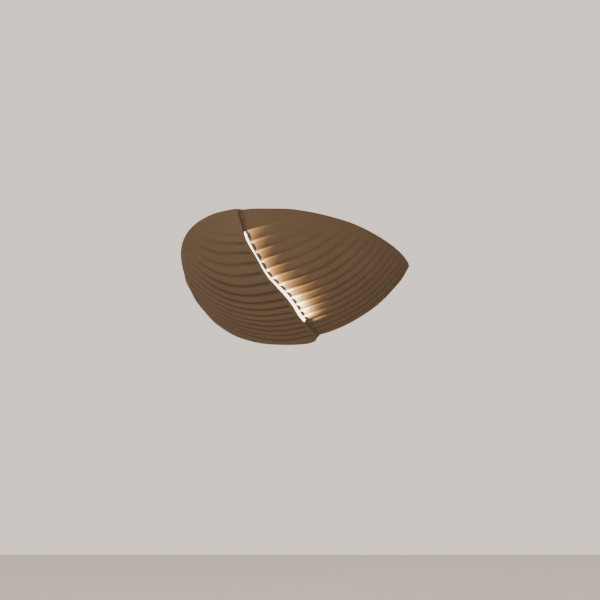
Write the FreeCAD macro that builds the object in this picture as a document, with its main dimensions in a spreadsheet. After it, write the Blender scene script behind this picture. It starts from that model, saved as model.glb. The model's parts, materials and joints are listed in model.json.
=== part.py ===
import FreeCAD, Part
import Sketcher
import math
import os

# Shell wall sconce.
# Row frame: origin at the middle of the two wall screw slots, on the wall
# plane.  +X to the right seen from the room, +Z up, the wall is the plane
# y = 0 and the room is on the -Y side.  Millimetres.
#
# The fitting comes apart into three groups: the wall plate with the
# lampholder and terminal block, which is screwed to the wall; the lamp,
# which unscrews along +X; and the plaster shell, which lifts off the plate's
# two hooks on its hanger bar.

V = FreeCAD.Vector
doc = FreeCAD.newDocument("shell_wall_sconce")

# ---------------------------------------------------------------- dimensions
sheet = doc.addObject("Spreadsheet::Sheet", "dims")
DIMS = [
    # shell casting
    ("shell_span", 380.0), ("wall_gap", 1.5), ("rim_thk", 8.5), ("mid_thk", 10.0),
    ("back_thk", 20.0), ("profile_angle", 66.0), ("lip_top", 2.0), ("lip_low", 6.0),
    ("lip_reach", 28.0), ("slit_half", 3.7), ("slit_through", 190.0),
    ("strip_play", 0.15), ("strip_sunk", 5.0),
    # hanger bar on the shell
    ("bar_left", -158.0), ("bar_right", 126.0), ("bar_low", -57.0), ("bar_tall", 14.0),
    ("bar_thk", 3.0), ("bar_end_back", -2.0), ("bar_mid_back", -9.0),
    ("joggle_left", -112.0), ("joggle_right", 94.0), ("joggle_run", 9.0),
    ("hang_left", -151.0), ("hang_right", 119.5), ("hang_drop", -50.0),
    ("insert_rad", 3.2), ("insert_long", 7.5), ("insert_bore", 2.05),
    ("csk_rad", 4.0), ("csk_deep", 2.0), ("hang_screw_rad", 2.0), ("hang_screw_long", 10.0),
    ("pad_rad", 4.5),
    # wall plate
    ("plate_half", 76.0), ("plate_top", 38.0), ("plate_low", -61.0), ("plate_thk", 2.0),
    ("plate_corner", 7.0), ("slot_pitch_half", 62.0), ("slot_rad", 2.75), ("slot_long", 12.0),
    ("entry_rad", 7.0), ("entry_drop", 22.0), ("entry_side", 2.0),
    ("hook_at", 45.0), ("hook_wide", 18.0), ("hook_base", -57.0), ("hook_reach", 16.5),
    ("hook_rise", 7.0), ("hook_thk", 2.0), ("rivet_rad", 1.6), ("plate_screw_rad", 2.0),
    # lampholder bracket
    ("lamp_out", 45.0), ("leaf_side", -40.0), ("leaf_thk", 2.0), ("foot_end", -12.0),
    ("bracket_half", 11.0), ("leaf_reach", 60.0), ("nipple_rad", 5.0), ("nipple_bore", 3.6),
    ("foot_screw_at", -20.0), ("foot_screw_half", 6.5), ("pan_rad", 3.8), ("pan_tall", 2.4),
    ("shank_rad", 1.95),
    # lampholder, on the lamp axis
    ("holder_rad", 19.5), ("holder_wall", 2.2), ("sleeve_rad", 13.45), ("sleeve_wall", 0.5),
    ("thread_pitch", 3.629), ("thread_deep", 0.75),
    # lamp
    ("cap_rad", 13.05), ("globe_rad", 22.5), ("globe_at", 52.0), ("glass_thk", 0.9),
    # terminal block
    ("block_side", -76.0), ("block_low", 15.0), ("block_wide", 25.0), ("block_tall", 16.0),
    ("block_deep", 14.0), ("way_pitch", 8.0), ("core_rad", 1.25),
]
for row, (name, value) in enumerate(DIMS, start=1):
    sheet.set("A%d" % row, name)
    sheet.set("B%d" % row, str(value))
    sheet.setAlias("B%d" % row, name)
doc.recompute()


def g(name):
    return float(getattr(sheet, name))


OUT = []            # (label, object)


def keep(label, obj):
    obj.Label = label
    OUT.append((label, obj))
    return obj


def ex(obj, **kw):
    for prop, expression in kw.items():
        obj.setExpression(prop.replace("__", "."), expression.replace("@", "dims."))


def place(obj, x="0", y="0", z="0"):
    obj.setExpression("Placement.Base.x", x.replace("@", "dims."))
    obj.setExpression("Placement.Base.y", y.replace("@", "dims."))
    obj.setExpression("Placement.Base.z", z.replace("@", "dims."))


def box(name, lx, ly, lz, x, y, z):
    b = doc.addObject("Part::Box", name)
    ex(b, Length=lx, Width=ly, Height=lz)
    place(b, x, y, z)
    return b


ROT = {"X": FreeCAD.Rotation(V(0, 1, 0), 90), "Y": FreeCAD.Rotation(V(1, 0, 0), -90),
       "-Y": FreeCAD.Rotation(V(1, 0, 0), 90), "Z": FreeCAD.Rotation()}


def cyl(name, r, length, x, y, z, axis="Z"):
    c = doc.addObject("Part::Cylinder", name)
    ex(c, Radius=r, Height=length)
    c.Placement = FreeCAD.Placement(V(), ROT[axis])
    place(c, x, y, z)
    return c


def cone(name, r1, r2, length, x, y, z, axis="Z"):
    c = doc.addObject("Part::Cone", name)
    ex(c, Radius1=r1, Radius2=r2, Height=length)
    c.Placement = FreeCAD.Placement(V(), ROT[axis])
    place(c, x, y, z)
    return c


def fuse(name, shapes):
    f = doc.addObject("Part::MultiFuse", name)
    f.Shapes = shapes
    return f


def cut(name, base, tool):
    c = doc.addObject("Part::Cut", name)
    c.Base = base
    c.Tool = tool
    return c


def compound(name, links):
    c = doc.addObject("Part::Compound", name)
    c.Links = links
    return c


def plane_of(body, role):
    for f in body.Origin.OriginFeatures:
        if f.Role == role:
            return f


def value_of(expression):
    # value of a sheet expression, read back through a scratch property
    probe.setExpression("Length", "abs(%s) + 1" % expression.replace("@", "dims."))
    probe.recompute()
    size = float(probe.Length) - 1
    probe.setExpression("Length", "(%s) + 100000" % expression.replace("@", "dims."))
    probe.recompute()
    return math.copysign(size, float(probe.Length) - 100000)


probe = doc.addObject("Part::Box", "probe")


def poly_sketch(body, role, pts, name="profile"):
    """Closed polygon sketch: every corner is driven from the sheet."""
    sk = body.newObject("Sketcher::SketchObject", name)
    sk.AttachmentSupport = [(plane_of(body, role), "")]
    sk.MapMode = "FlatFace"
    vals = [(value_of(a), value_of(b)) for a, b in pts]
    n = len(vals)
    for i in range(n):
        p, q = vals[i], vals[(i + 1) % n]
        sk.addGeometry(Part.LineSegment(V(p[0], p[1], 0), V(q[0], q[1], 0)), False)
    for i in range(n):
        sk.addConstraint(Sketcher.Constraint("Coincident", i, 2, (i + 1) % n, 1))
    for i, (a, b) in enumerate(pts):
        for kind, val, text in (("DistanceX", vals[i][0], a), ("DistanceY", vals[i][1], b)):
            if abs(val) < 1e-9:
                # corner on an axis of the sketch
                k = sk.addConstraint(Sketcher.Constraint(
                    "PointOnObject", i, 1, -2 if kind == "DistanceX" else -1))
            else:
                k = sk.addConstraint(Sketcher.Constraint(kind, -1, 1, i, 1, val))
                sk.setExpression("Constraints[%d]" % k, text.replace("@", "dims."))
    return sk


def revolve(label, pts, x="0", y="0", z="0"):
    """Solid of revolution about the lamp axis; pts are (along X, radius)."""
    body = doc.addObject("PartDesign::Body", label + "_body")
    sk = poly_sketch(body, "XY_Plane", pts)
    rev = body.newObject("PartDesign::Revolution", label + "_turned")
    rev.Profile = sk
    rev.ReferenceAxis = (sk, ["H_Axis"])
    rev.Angle = 360.0
    place(body, x, y, z)
    return keep(label, body)


def pad(body, role, pts, length, symmetric=False, reverse=False, name="pad"):
    sk = poly_sketch(body, role, pts, name + "_outline")
    p = body.newObject("PartDesign::Pad", name)
    p.Profile = sk
    p.setExpression("Length", length.replace("@", "dims."))
    if symmetric:
        try:
            p.SideType = "Symmetric"
        except Exception:
            p.Midplane = True
    p.Reversed = reverse
    return p


# ------------------------------------------------------------ shell casting
# Outline seen from the room, at the full span of 380 mm: (x, z) and, on the
# rim, the distance of the rim from the wall.
SCALE = g("shell_span") / 380.0
RIM_LEFT = [(-190.0, -1.7, 8), (-194.0, 15.1, 21), (-194.9, 35.2, 39), (-189.8, 55.2, 60),
            (-181.4, 68.6, 76), (-171.7, 78.3, 89), (-160.7, 86.0, 100), (-149.0, 92.1, 109),
            (-135.6, 97.1, 116), (-122.2, 100.4, 121.5), (-108.8, 103.0, 126), (-97.1, 103.5, 129)]
BACK_LEFT = [(-187.8, -15.9), (-185.0, -22.3), (-179.1, -33.1), (-172.4, -46.4), (-165.7, -56.4),
             (-152.3, -72.3), (-138.9, -86.7), (-125.5, -96.6), (-105.5, -108.6), (-85.4, -116.0),
             (-58.6, -122.0), (-28.5, -124.2), (1.7, -123.9), (15.1, -122.7), (25.1, -120.4),
             (33.1, -115.5)]
SEAM_LEFT = [(-97.1, 103.5), (-98.0, 97.0), (-93.7, 82.0), (-90.4, 65.3), (-80.9, 41.0),
             (-69.6, 21.8), (-59.9, 5.0), (-50.2, -8.9), (-37.8, -22.8), (-25.3, -36.7),
             (-15.6, -49.2), (-7.2, -61.6), (1.2, -74.2), (10.0, -83.7), (20.1, -93.7),
             (30.0, -103.5), (33.1, -115.5)]
SEAM_RIGHT = [(-91.2, 101.8), (-86.9, 82.0), (-83.5, 65.3), (-74.0, 41.0), (-62.8, 21.8),
              (-53.1, 5.0), (-43.4, -8.9), (-31.0, -22.8), (-18.4, -36.7), (-8.7, -49.2),
              (-0.3, -61.6), (8.0, -74.2), (16.9, -83.7), (27.0, -93.7), (34.3, -100.8),
              (39.3, -106.5)]
RIM_RIGHT = [(-91.2, 101.8, 127), (-68.6, 103.8, 130), (-41.9, 103.8, 131), (-15.1, 103.5, 129),
             (11.7, 100.4, 125), (38.5, 95.4, 117.5), (65.3, 88.7, 108), (92.1, 80.4, 96),
             (118.9, 68.6, 81), (145.6, 53.6, 61.5), (165.7, 39.3, 42), (179.3, 26.6, 24),
             (186.0, 17.3, 12)]
BACK_RIGHT = [(39.3, -106.5), (50.2, -103.8), (67.0, -97.6), (83.7, -90.2), (100.4, -81.0),
              (117.2, -70.6), (133.9, -58.3), (150.7, -43.0), (167.4, -24.6), (175.8, -14.6),
              (183.9, -1.0), (189.0, 8.4)]
SLIT_LINE = [(-86.4, 62.2), (-77.5, 41.0), (-66.4, 21.8), (-57.0, 5.0), (-47.8, -8.9),
             (-35.3, -22.8), (-21.8, -36.7), (-11.0, -49.2), (-2.4, -61.6), (5.9, -74.2),
             (11.6, -81.6)]


def along(table, count):
    pts = [V(p[0] * SCALE, -(p[2] if len(p) > 2 else 0.0) * SCALE, p[1] * SCALE) for p in table]
    c = Part.BSplineCurve()
    c.interpolate(pts)
    return c.discretize(Number=count)


def dome(f):
    """Share of the rim's distance that is left at the fraction f of the way
    from the rim (0) to the wall (1)."""
    a = math.radians(g("profile_angle"))
    t = math.asin(min(1.0, f * math.sin(a)))
    return (math.cos(t) - math.cos(a)) / (1 - math.cos(a))


def lobe(rim, back, seam, seam_last):
    """Outer and inner skins of one lobe as two B-spline surfaces."""
    step = 4
    nu, nf = 15 * step + 1, 13 * step + 1
    R, W, S = along(rim, nu), along(back, nu), along(seam, nf)
    gap = g("wall_gap")
    P = []
    for i in range(nu):
        u = i / (nu - 1.0)
        w = u if seam_last else 1 - u            # 1 at the seam
        e = 0 if seam_last else nu - 1           # column at the free end
        s = nu - 1 if seam_last else 0
        col = []
        for j in range(nf):
            f = j / (nf - 1.0)
            E = R[e] * (1 - f) + W[e] * f
            q = R[i] * (1 - f) + W[i] * f + E * (1 - w) + S[j] * w \
                - ((R[e] * (1 - f) + W[e] * f) * (1 - w) + (R[s] * (1 - f) + W[s] * f) * w)
            depth = -R[i].y * dome(f)
            if seam_last:
                # the left lobe's lip stands proud of the right lobe
                away = (S[j] - V(q.x, 0, q.z)).Length
                raised = (g("lip_top") + (g("lip_low") - g("lip_top")) * f) * math.sqrt(max(0.0, 1 - f * f))
                depth += raised * math.exp(-(away / g("lip_reach")) ** 2)
            col.append(V(q.x, -gap - depth, q.z))
        P.append(col)
    # outward is towards the room at the middle of the lobe
    mu, mf = nu // 2, nf // 2
    turn = -1.0 if (P[mu + 1][mf] - P[mu - 1][mf]).cross(P[mu][mf + 1] - P[mu][mf - 1]).y > 0 else 1.0
    Q = []
    for i in range(nu):
        raw = []
        for j in range(nf):
            a = P[min(i + 1, nu - 1)][j] - P[max(i - 1, 0)][j]
            b = P[i][min(j + 1, nf - 1)] - P[i][max(j - 1, 0)]
            n = a.cross(b) * turn
            n.normalize()
            f = j / (nf - 1.0)
            thk = g("rim_thk") + (g("mid_thk") - g("rim_thk")) * min(1.0, f * 3)
            thk += (g("back_thk") - g("mid_thk")) * max(0.0, (f - 0.6) / 0.4) ** 1.5
            raw.append(P[i][j] - n * thk)
        # the inner skin stops at the back face
        cutoff = []
        for j in range(nf):
            if raw[j].y > -gap:
                p, q = raw[j - 1], raw[j]
                t = (-gap - p.y) / (q.y - p.y)
                cutoff.append(p + (q - p) * t)
                break
            cutoff.append(raw[j])
        else:
            p, q = raw[-2], raw[-1]
            t = (-gap - p.y) / (q.y - p.y)
            cutoff[-1] = p + (q - p) * t
        c = Part.BSplineCurve()
        c.interpolate(cutoff)
        Q.append(c.discretize(Number=nf))
    skins = []
    for grid in (P, Q):
        pts = [[grid[i][j] for j in range(0, nf, step)] for i in range(0, nu, step)]
        for row_ in pts:
            row_[-1].y = -gap
        surf = Part.BSplineSurface()
        surf.interpolate(pts)
        skins.append(surf)
    return skins


def side(surf, which):
    """Boundary edge of a skin: which is seam0, seam1 (first or last column),
    rim or back."""
    u0, u1, v0, v1 = surf.bounds()
    if which == "first":
        return surf.uIso(u0).toShape()
    if which == "last":
        return surf.uIso(u1).toShape()
    if which == "rim":
        return surf.vIso(v0).toShape()
    return surf.vIso(v1).toShape()


def line(a, b):
    return Part.LineSegment(a, b).toShape()


def first(e):
    return e.valueAt(e.FirstParameter)


def last(e):
    return e.valueAt(e.LastParameter)


out_l, in_l = lobe(RIM_LEFT, BACK_LEFT, SEAM_LEFT, True)
out_r, in_r = lobe(RIM_RIGHT, BACK_RIGHT, SEAM_RIGHT, False)
faces = [s.toShape() for s in (out_l, in_l, out_r, in_r)]
for o, i_, free in ((out_l, in_l, "first"), (out_r, in_r, "last")):
    faces.append(Part.makeRuledSurface(side(o, "rim"), side(i_, "rim")))
    faces.append(Part.makeRuledSurface(side(o, "back"), side(i_, "back")))
    faces.append(Part.makeRuledSurface(side(o, free), side(i_, free)))
ol, orr = side(out_l, "last"), side(out_r, "first")
il, ir = side(in_l, "last"), side(in_r, "first")
faces.append(Part.makeRuledSurface(ol, orr))
faces.append(Part.makeRuledSurface(il, ir))
faces.append(Part.makeRuledSurface(line(first(ol), first(il)), line(first(orr), first(ir))))
faces.append(Part.makeRuledSurface(line(last(ol), last(il)), line(last(orr), last(ir))))
skin = Part.Compound(faces)
skin.sewShape()
blank_shape = Part.Solid(skin.Shells[0] if skin.Shells else Part.Shell(skin.Faces))
if blank_shape.Volume < 0:
    blank_shape.reverse()
blank = doc.addObject("Part::Feature", "shell_blank")
blank.Shape = blank_shape

# light slit between the lobes: a band with round ends, cut straight through
half = g("slit_half")
mid = Part.BSplineCurve()
mid.interpolate([V(p[0] * SCALE, 0, p[1] * SCALE) for p in SLIT_LINE])
t0, t1 = mid.FirstParameter, mid.LastParameter
sides = ([], [])
COUNT = 15
for k in range(COUNT):
    t = t0 + (t1 - t0) * k / (COUNT - 1.0)
    p = mid.value(t)
    d = mid.tangent(t)[0]
    n = V(-d.z, 0, d.x)
    sides[0].append(p + n * half)
    sides[1].append(p - n * half)
ca, cb = Part.BSplineCurve(), Part.BSplineCurve()
ca.interpolate(sides[0])
cb.interpolate(sides[1])
d0, d1 = mid.tangent(t0)[0], mid.tangent(t1)[0]
end0 = Part.Arc(sides[0][0], mid.value(t0) - d0 * half, sides[1][0]).toShape()
end1 = Part.Arc(sides[0][-1], mid.value(t1) + d1 * half, sides[1][-1]).toShape()
outline = doc.addObject("Part::Feature", "slit_outline")
outline.Shape = Part.Wire(Part.__sortEdges__([ca.toShape(), end1, cb.toShape(), end0]))
slit = doc.addObject("Part::Extrusion", "slit_cutter")
slit.Base = outline
slit.DirMode = "Custom"
slit.Dir = V(0, -1, 0)
slit.Solid = True
ex(slit, LengthFwd="@slit_through")

# the opal strip that fills the slit, set back from the plaster's face
def band_edge(offset):
    c = Part.BSplineCurve()
    c.interpolate([mid.value(t0 + (t1 - t0) * k / (COUNT - 1.0))
                   + V(-mid.tangent(t0 + (t1 - t0) * k / (COUNT - 1.0))[0].z, 0,
                       mid.tangent(t0 + (t1 - t0) * k / (COUNT - 1.0))[0].x) * offset for k in range(COUNT)])
    return c


thin = half - g("strip_play")
sa, sb = band_edge(thin), band_edge(-thin)
cap0 = Part.Arc(first(sa.toShape()), mid.value(t0) - d0 * thin, first(sb.toShape())).toShape()
cap1 = Part.Arc(last(sa.toShape()), mid.value(t1) + d1 * thin, last(sb.toShape())).toShape()
strip_outline = doc.addObject("Part::Feature", "strip_outline")
strip_outline.Shape = Part.Wire(Part.__sortEdges__([sa.toShape(), cap1, sb.toShape(), cap0]))
strip_run = doc.addObject("Part::Extrusion", "strip_run")
strip_run.Base = strip_outline
strip_run.DirMode = "Custom"
strip_run.Dir = V(0, -1, 0)
strip_run.Solid = True
ex(strip_run, LengthFwd="@slit_through")
sunk = doc.addObject("Part::Feature", "shell_blank_sunk")
sunk.Shape = blank_shape.copy()
sunk.Placement = FreeCAD.Placement(V(0, g("strip_sunk"), 0), FreeCAD.Rotation())
meet_a = doc.addObject("Part::Common", "strip_in_wall")
meet_a.Base = strip_run
meet_a.Tool = blank
meet_b = doc.addObject("Part::Common", "strip_set_back")
meet_b.Base = meet_a
meet_b.Tool = sunk
keep("slit_diffuser", meet_b)

# recesses and insert pockets for the hanger bar in the thick back edge
rec_l = box("recess_left", "@joggle_left - @bar_left + 2", "@bar_thk + 0.5 + 1", "@bar_tall + 2",
            "@bar_left - 1", "@bar_end_back - @bar_thk", "@bar_low - 1")
rec_r = box("recess_right", "@bar_right - @joggle_right + 2", "@bar_thk + 0.5 + 1", "@bar_tall + 2",
            "@joggle_right - 1", "@bar_end_back - @bar_thk", "@bar_low - 1")
pk_l = cyl("pocket_left", "@insert_rad", "@insert_long + 1", "@hang_left",
           "@bar_end_back - @bar_thk + 0.5", "@hang_drop", "-Y")
pk_r = cyl("pocket_right", "@insert_rad", "@insert_long + 1", "@hang_right",
           "@bar_end_back - @bar_thk + 0.5", "@hang_drop", "-Y")
back_trim = box("back_trim", "600", "30", "500", "-300", "-@wall_gap", "-250")
shell_tools = fuse("shell_tools", [slit, rec_l, rec_r, pk_l, pk_r, back_trim])
keep("shell_casting", cut("shell_cut", blank, shell_tools))

# ---------------------------------------------------------------- hanger bar
bar = doc.addObject("PartDesign::Body", "hanger_bar_body")
eb, mb, tk = "@bar_end_back", "@bar_mid_back", "@bar_thk"
pad(bar, "XY_Plane", [
    ("@bar_left", eb), ("@joggle_left", eb), ("@joggle_left + @joggle_run", mb),
    ("@joggle_right - @joggle_run", mb), ("@joggle_right", eb), ("@bar_right", eb),
    ("@bar_right", eb + " - " + tk), ("@joggle_right + 0.8", eb + " - " + tk),
    ("@joggle_right - @joggle_run + 0.8", mb + " - " + tk),
    ("@joggle_left + @joggle_run - 0.8", mb + " - " + tk),
    ("@joggle_left - 0.8", eb + " - " + tk), ("@bar_left", eb + " - " + tk)], "@bar_tall")
place(bar, "0", "0", "@bar_low")
bar_holes = fuse("bar_holes", [
    cyl("bar_hole_left", "@hang_screw_rad + 0.25", "8", "@hang_left", "@bar_end_back + 1", "@hang_drop", "-Y"),
    cyl("bar_hole_right", "@hang_screw_rad + 0.25", "8", "@hang_right", "@bar_end_back + 1", "@hang_drop", "-Y"),
    cone("bar_sink_left", "@csk_rad + 0.15", "@hang_screw_rad + 0.15", "@csk_deep", "@hang_left",
         "@bar_end_back + 0.001", "@hang_drop", "-Y"),
    cone("bar_sink_right", "@csk_rad + 0.15", "@hang_screw_rad + 0.15", "@csk_deep", "@hang_right",
         "@bar_end_back + 0.001", "@hang_drop", "-Y")])
keep("hanger_bar", cut("hanger_bar_cut", bar, bar_holes))


def insert(tag, x):
    body_ = cyl("insert_" + tag, "@insert_rad - 0.05", "@insert_long", x,
                "@bar_end_back - @bar_thk - 0.05", "@hang_drop", "-Y")
    bore = cyl("insert_bore_" + tag, "@insert_bore", "@insert_long + 2", x,
               "@bar_end_back - @bar_thk + 1", "@hang_drop", "-Y")
    return cut("insert_part_" + tag, body_, bore)


keep("hanger_inserts", compound("inserts", [insert("left", "@hang_left"), insert("right", "@hang_right")]))


def csk_screw(tag, x):
    head = cone("csk_head_" + tag, "@csk_rad", "@hang_screw_rad", "@csk_deep", x,
                "@bar_end_back - 0.1", "@hang_drop", "-Y")
    shank = cyl("csk_shank_" + tag, "@hang_screw_rad", "@hang_screw_long", x,
                "@bar_end_back - 0.1", "@hang_drop", "-Y")
    drive_a = box("csk_slot_" + tag, "4.6", "1.2", "0.9", x + " - 2.3", "@bar_end_back - 1.1", "@hang_drop - 0.45")
    drive_b = box("csk_slot2_" + tag, "0.9", "1.2", "4.6", x + " - 0.45", "@bar_end_back - 1.1", "@hang_drop - 2.3")
    return cut("csk_" + tag, fuse("csk_blank_" + tag, [head, shank]), fuse("csk_drive_" + tag, [drive_a, drive_b]))


keep("hanger_screws", compound("csk_screws", [csk_screw("left", "@hang_left"), csk_screw("right", "@hang_right")]))

# felt pads between the casting's back edge and the wall
pads = []
for k, (px_, pz_) in enumerate([(-173.0, -27.0), (-128.5, -86.0), (-75.0, -110.5), (-10.0, -116.5),
                                (75.0, -87.0), (115.0, -63.5), (163.5, -18.5)]):
    c = doc.addObject("Part::Cylinder", "felt_pad_%d" % k)
    ex(c, Radius="@pad_rad", Height="@wall_gap")
    c.Placement = FreeCAD.Placement(V(px_ * SCALE, 0, pz_ * SCALE), ROT["-Y"])
    pads.append(c)
keep("felt_pads", compound("felt_pad_set", pads))

# ---------------------------------------------------------------- wall plate
plate = doc.addObject("PartDesign::Body", "wall_plate_body")
c_ = "@plate_corner"
pad(plate, "XZ_Plane", [
    ("-@plate_half + " + c_, "@plate_low"), ("@plate_half - " + c_, "@plate_low"),
    ("@plate_half", "@plate_low + " + c_), ("@plate_half", "@plate_top - " + c_),
    ("@plate_half - " + c_, "@plate_top"), ("-@plate_half + " + c_, "@plate_top"),
    ("-@plate_half", "@plate_top - " + c_), ("-@plate_half", "@plate_low + " + c_)],
    "@plate_thk")


def slot(tag, x):
    a = cyl("slot_a_" + tag, "@slot_rad", "6", x + " - (@slot_long / 2 - @slot_rad)", "2", "0", "-Y")
    b = cyl("slot_b_" + tag, "@slot_rad", "6", x + " + (@slot_long / 2 - @slot_rad)", "2", "0", "-Y")
    m = box("slot_m_" + tag, "@slot_long - 2 * @slot_rad", "6", "2 * @slot_rad",
            x + " - (@slot_long / 2 - @slot_rad)", "-4", "-@slot_rad")
    return fuse("slot_" + tag, [a, b, m])


plate_tools = fuse("plate_tools", [
    slot("left", "-@slot_pitch_half"), slot("right", "@slot_pitch_half"),
    cyl("entry_hole", "@entry_rad", "6", "@entry_side", "2", "@entry_drop", "-Y"),
    cyl("foot_tap_low", "@plate_screw_rad", "6", "@foot_screw_at", "2", "-@foot_screw_half", "-Y"),
    cyl("foot_tap_high", "@plate_screw_rad", "6", "@foot_screw_at", "2", "@foot_screw_half", "-Y"),
    cyl("block_tap", "@plate_screw_rad - 0.4", "6", "@block_side + @way_pitch + 0.5", "2", "@block_low + @block_tall / 2", "-Y"),
    cyl("earth_tap", "@plate_screw_rad", "6", "-56", "2", "-28", "-Y")]
    + [cyl("rivet_eye_%d" % k, "@rivet_rad + 0.05", "6", x_, "2", "@hook_base + 15", "-Y")
       for k, x_ in enumerate(("-@hook_at - 5", "-@hook_at + 5", "@hook_at - 5", "@hook_at + 5"))])
flat = cut("plate_flat", plate, plate_tools)


def hook(tag, x):
    h = doc.addObject("PartDesign::Body", "hook_body_" + tag)
    # J section in the YZ plane: root on the plate, base, front lip
    back = "-@plate_thk - 0.02"
    pts = [(back, "@hook_base + 21"), (back, "@hook_base - @plate_thk"), ("-@hook_reach", "@hook_base - @plate_thk"),
           ("-@hook_reach", "@hook_base + @hook_rise"), ("-@hook_reach + @plate_thk", "@hook_base + @hook_rise"),
           ("-@hook_reach + @plate_thk", "@hook_base"), (back + " - @hook_thk", "@hook_base"),
           (back + " - @hook_thk", "@hook_base + 21")]
    pad(h, "YZ_Plane", pts, "@hook_wide", symmetric=True)
    place(h, x, "0", "0")
    holes = [cyl("hook_eye_%s_%d" % (tag, s), "@rivet_rad + 0.05", "6", "%s + %d" % (x, s), "0", "@hook_base + 15", "-Y")
             for s in (-5, 5)]
    return cut("hook_" + tag, h, fuse("hook_eyes_" + tag, holes))


keep("wall_plate", flat)
keep("shell_hooks", compound("hook_pair", [hook("left", "-@hook_at"), hook("right", "@hook_at")]))


def rivet(tag, x):
    head = cyl("rivet_head_" + tag, "@rivet_rad * 1.9", "1.1", x, "-@plate_thk - @hook_thk - 0.07", "@hook_base + 15", "-Y")
    body_ = cyl("rivet_" + tag, "@rivet_rad", "@plate_thk + @hook_thk + 0.1", x, "-0.1", "@hook_base + 15", "-Y")
    return fuse("rivet_all_" + tag, [head, body_])


keep("hook_rivets", compound("rivet_set", [rivet("%s_%d" % (n_, s), "%s + %d" % (p_, s))
                                           for n_, p_ in (("left", "-@hook_at"), ("right", "@hook_at")) for s in (-5, 5)]))

# rubber grommet in the cable entry hole
gr_o = fuse("grommet_solid", [
    cyl("grommet_front", "@entry_rad + 2.5", "1.6", "@entry_side", "-@plate_thk - 0.05", "@entry_drop", "-Y"),
    cyl("grommet_waist", "@entry_rad - 0.05", "@plate_thk + 0.5", "@entry_side", "-0.1", "@entry_drop", "-Y")])
keep("cable_grommet", cut("grommet_cut", gr_o, cyl("grommet_bore", "@entry_rad - 1.8", "12", "@entry_side", "4", "@entry_drop", "-Y")))

# ---------------------------------------------------------- lampholder bracket
bracket = doc.addObject("PartDesign::Body", "bracket_body")
pt = "@plate_thk"
pad(bracket, "XY_Plane", [
    ("@leaf_side", "-@plate_thk - 0.02"), ("@foot_end", "-@plate_thk - 0.02"),
    ("@foot_end", "-@plate_thk - @leaf_thk"), ("@leaf_side + @leaf_thk", "-@plate_thk - @leaf_thk"),
    ("@leaf_side + @leaf_thk", "-@leaf_reach"), ("@leaf_side", "-@leaf_reach")],
    "2 * @bracket_half", symmetric=True)
br_tools = fuse("bracket_tools", [
    cyl("nipple_hole", "@nipple_rad + 0.15", "12", "@leaf_side - 5", "-@lamp_out", "0", "X"),
    cyl("foot_hole_low", "@plate_screw_rad + 0.3", "8", "@foot_screw_at", "0", "-@foot_screw_half", "-Y"),
    cyl("foot_hole_high", "@plate_screw_rad + 0.3", "8", "@foot_screw_at", "0", "@foot_screw_half", "-Y")])
keep("lampholder_bracket", cut("bracket_cut", bracket, br_tools))


def pan_screw(tag, x, z, head_y, length, r_head="@pan_rad", r_shank="@shank_rad", tall="@pan_tall"):
    head = cyl("pan_" + tag, r_head, tall, x, head_y, z, "-Y")
    shank = cyl("pan_shank_" + tag, r_shank, length, x, head_y + " + " + length, z, "-Y")
    a = box("pan_slot_" + tag, "0.9", "1.3", r_head + " * 1.3", x + " - 0.45",
            head_y + " - " + tall + " - 0.2", z + " - " + r_head + " * 0.65")
    b = box("pan_slot2_" + tag, r_head + " * 1.3", "1.3", "0.9", x + " - " + r_head + " * 0.65",
            head_y + " - " + tall + " - 0.2", z + " - 0.45")
    return cut("pan_screw_" + tag, fuse("pan_blank_" + tag, [head, shank]), fuse("pan_drive_" + tag, [a, b]))


keep("bracket_screws", compound("bracket_screw_set", [
    pan_screw("low", "@foot_screw_at", "-@foot_screw_half", "-@plate_thk - @leaf_thk - 0.05", "3.9"),
    pan_screw("high", "@foot_screw_at", "@foot_screw_half", "-@plate_thk - @leaf_thk - 0.05", "3.9")]))

# ------------------------------------------------ lampholder, on the lamp axis
AX = dict(x="0", y="-@lamp_out", z="0")
ls = "@leaf_side"
revolve("lampholder_nipple", [(ls + " - 6.5", "@nipple_bore"), (ls + " - 6.5", "@nipple_rad"),
                              ("-33.5", "@nipple_rad"), ("-33.5", "@nipple_bore")], **AX)


def hexnut(label, x0, length, flats, bore):
    body = doc.addObject("PartDesign::Body", label + "_body")
    pts = []
    for k in range(6):
        a = math.radians(60 * k)
        pts.append(("%s / 2 / cos(30) * %.9f" % (flats, math.cos(a)), "%s / 2 / cos(30) * %.9f" % (flats, math.sin(a))))
    pad(body, "YZ_Plane", pts, length)
    place(body, x0, "-@lamp_out", "0")
    hole = cyl(label + "_bore", bore, length + " + 4", x0 + " - 2", "-@lamp_out", "0", "X")
    return keep(label, cut(label + "_cut", body, hole))


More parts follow.
